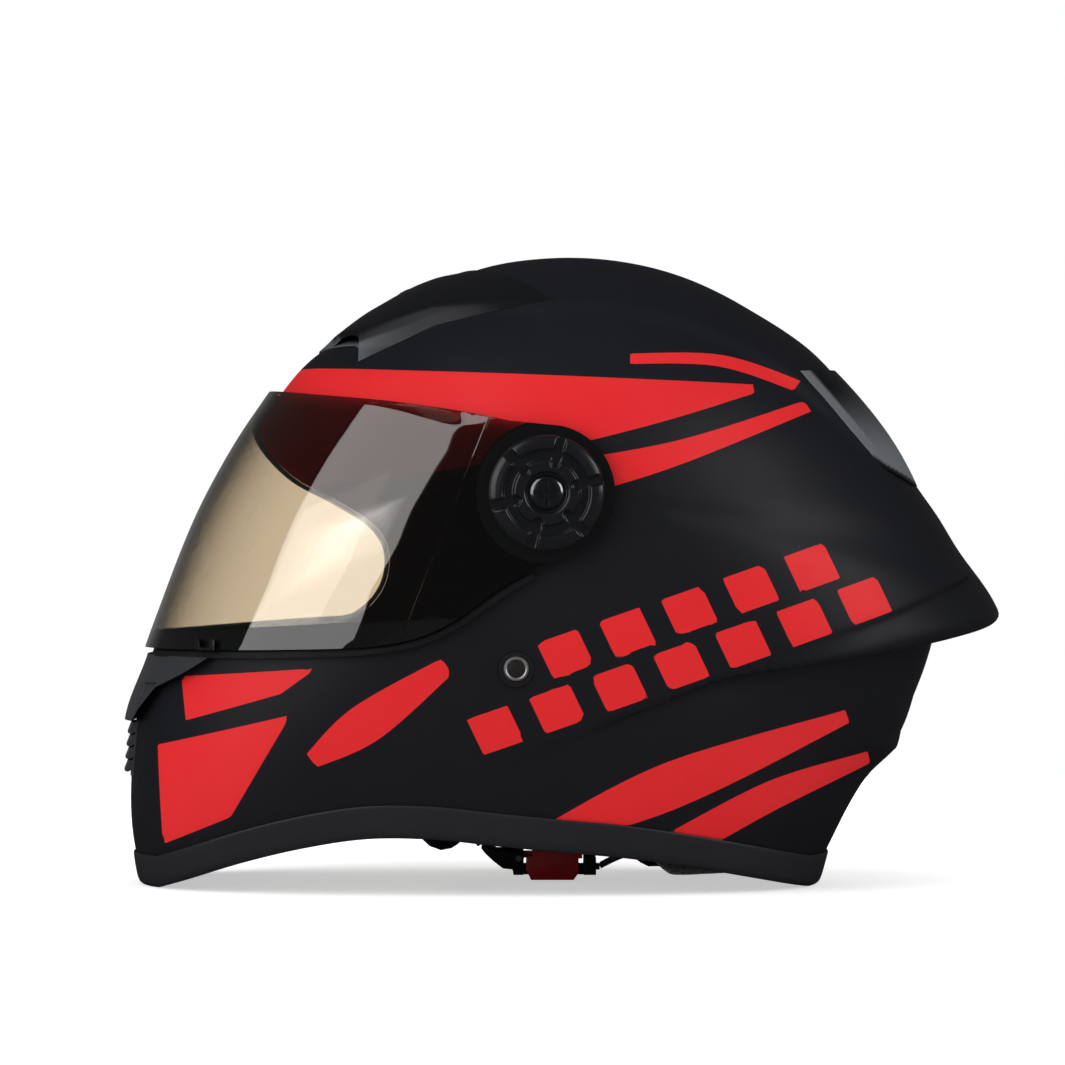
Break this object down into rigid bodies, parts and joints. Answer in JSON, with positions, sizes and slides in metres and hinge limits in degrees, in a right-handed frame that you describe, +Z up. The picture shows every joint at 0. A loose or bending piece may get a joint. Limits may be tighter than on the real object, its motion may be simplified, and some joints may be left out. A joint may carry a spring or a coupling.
{
  "type": "full face helmet",
  "caption": "Full face motorcycle helmet: hinged tinted visor, vents with a slider and a shutter, foam and cloth liner, chin strap with a quick-release buckle.",
  "frame": {"origin": "on the floor, under the middle of the helmet's box", "axes": "face along -Y, wearer's left +X, +Z up"},
  "size_m": [0.254, 0.3497, 0.2498],
  "materials": {
    "matte_shell": "matte",
    "trim_rubber": "satin",
    "gasket_rubber": "matte",
    "foam": "beaded",
    "liner_cloth": "brushed",
    "mesh_cloth": "open mesh",
    "inner_plastic": "satin",
    "vent_plastic": "satin",
    "gloss_black": "gloss",
    "tinted_visor": "mirror tinted",
    "steel": "satin",
    "dark_chrome": "polished",
    "rivet_chrome": "polished",
    "webbing": "woven",
    "red_plastic": "gloss"
  },
  "bodies": {
    "helmet": {"outer_shell": "matte_shell", "bottom_trim": "trim_rubber", "eyeport_gasket": "gasket_rubber", "eps_liner": "foam", "chin_foam": "foam", "crown_pad": "liner_cloth", "cheek_pad_left": "liner_cloth", "cheek_pad_right": "liner_cloth", "neck_roll": "mesh_cloth", "pivot_plate_left": "inner_plastic", "pivot_plate_right": "inner_plastic", "plate_screws": "steel", "cover_nuts": "steel", "pivot_cover_left": "gloss_black", "pivot_cover_right": "gloss_black", "cover_screws": "dark_chrome", "top_vent_cover": "vent_plastic", "rear_exhaust_cover": "vent_plastic", "chin_vent_hood": "vent_plastic", "chin_vent_grille": "vent_plastic", "strap_rivets": "rivet_chrome", "rivet_washers": "inner_plastic", "strap_anchor_plates": "steel", "strap_left": "webbing", "strap_right": "webbing", "buckle_frame": "inner_plastic", "lever_pin": "steel", "lever_spring": "steel"},
    "visor": {"visor_lens": "tinted_visor", "visor_hub_left": "inner_plastic", "visor_hub_right": "inner_plastic"},
    "vent_slider": {"top_vent_slider": "gloss_black"},
    "vent_shutter": {"chin_vent_shutter": "inner_plastic"},
    "release_lever": {"buckle_lever": "red_plastic"},
    "tongue": {"strap_tongue": "vent_plastic"}
  },
  "joints": [
    {"name": "visor_hinge", "type": "hinge", "parent": "helmet", "child": "visor", "pos_m": [0, -0.006, 0.155], "axis": [-1, 0, 0], "range_deg": [0, 56]},
    {"name": "top_vent_slide", "type": "slide", "parent": "helmet", "child": "vent_slider", "axis": [0, 0.886, 0.4637], "range_m": [0, 0.008]},
    {"name": "chin_shutter_slide", "type": "slide", "parent": "helmet", "child": "vent_shutter", "axis": [0, 0, -1], "range_m": [0, 0.01]},
    {"name": "lever_hinge", "type": "hinge", "parent": "helmet", "child": "release_lever", "pos_m": [0, -0.017, 0.0098], "axis": [1, 0, 0], "range_deg": [0, 22], "stiffness_Nm_per_rad": 0.05, "springref_deg": -11.46},
    {"name": "tongue_slide", "type": "slide", "parent": "helmet", "child": "tongue", "axis": [0, 1, 0], "range_m": [0, 0.032], "deforming": ["strap_right"]}
  ]
}
